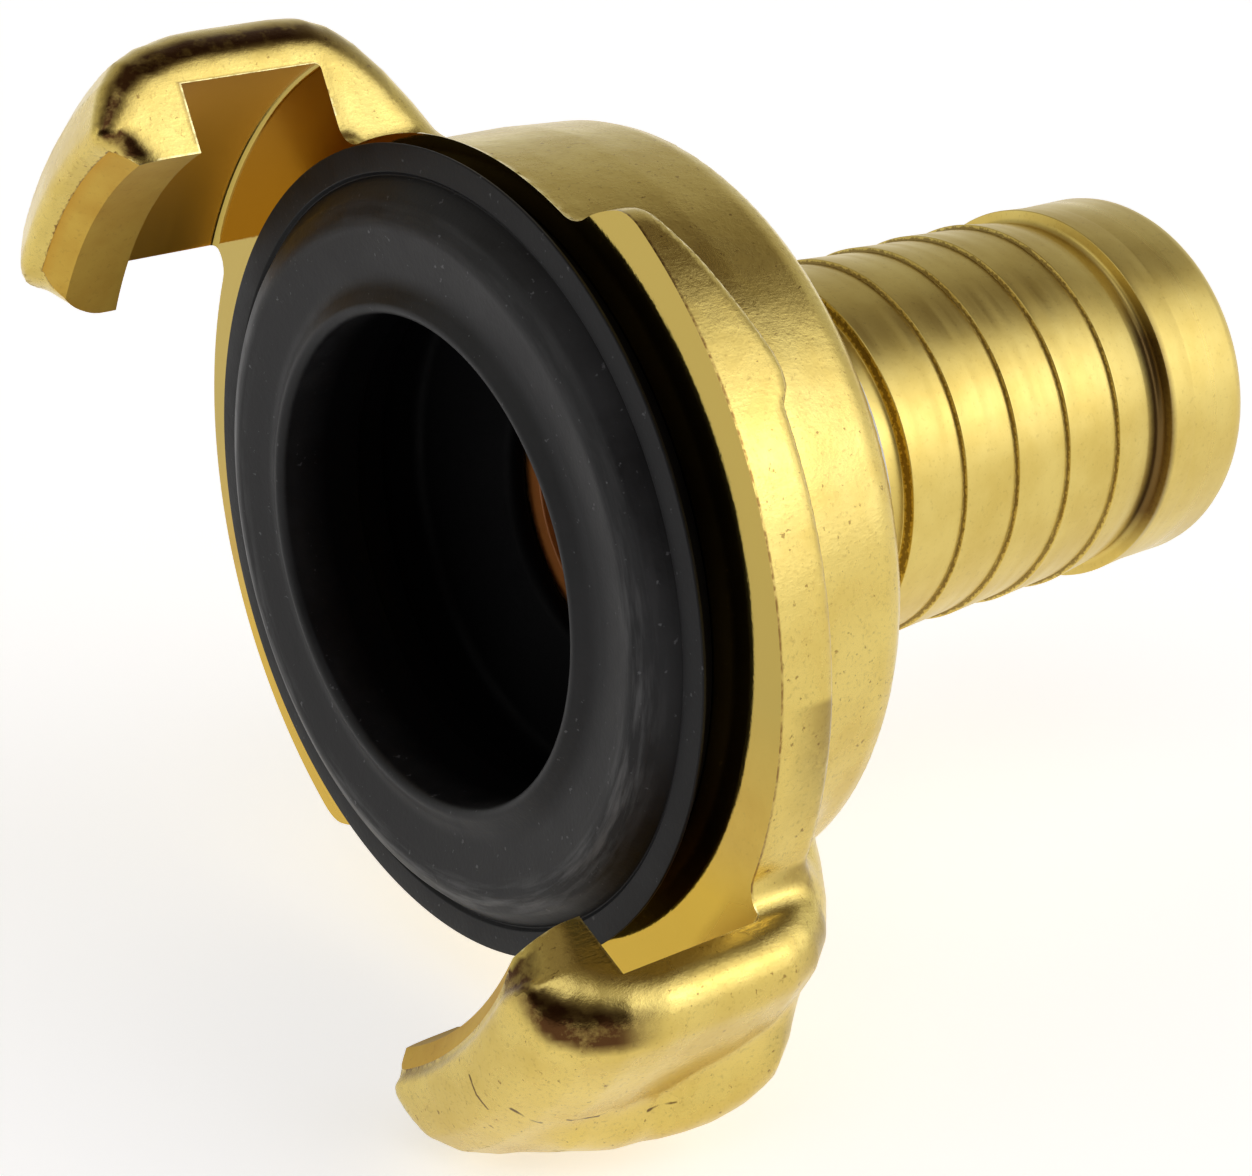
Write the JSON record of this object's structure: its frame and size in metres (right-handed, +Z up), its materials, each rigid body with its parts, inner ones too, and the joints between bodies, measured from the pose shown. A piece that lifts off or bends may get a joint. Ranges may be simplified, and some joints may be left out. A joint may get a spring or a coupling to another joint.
{
  "type": "claw quick hose coupling",
  "caption": "Claw-type quick hose coupling half in brass, with bayonet claws, a ramped flange, a rubber form seal and a swivelling barbed hose tail.",
  "frame": {"origin": "on the coupling axis, in the plane of the flange's machined front face", "axes": "+X along the coupling axis from the claws towards the hose end, +Z up, +Y completes the right-handed frame"},
  "size_m": [0.054, 0.047, 0.046],
  "materials": {
    "forged_brass": "satin",
    "turned_brass": "satin",
    "seal_rubber": "matte",
    "ring_rubber": "matte",
    "washer_plastic": "matte",
    "spring_steel": "satin"
  },
  "bodies": {
    "tail": {"hose_tail": "turned_brass", "retaining_ring": "spring_steel", "o_ring": "ring_rubber"},
    "head": {"claw_head": "forged_brass", "form_seal": "seal_rubber", "front_thrust_washer": "washer_plastic", "rear_thrust_washer": "washer_plastic"}
  },
  "joints": [
    {"name": "head_swivel", "type": "hinge", "parent": "tail", "child": "head", "pos_m": [0, 0, 0], "axis": [1, 0, 0], "continuous": true}
  ]
}
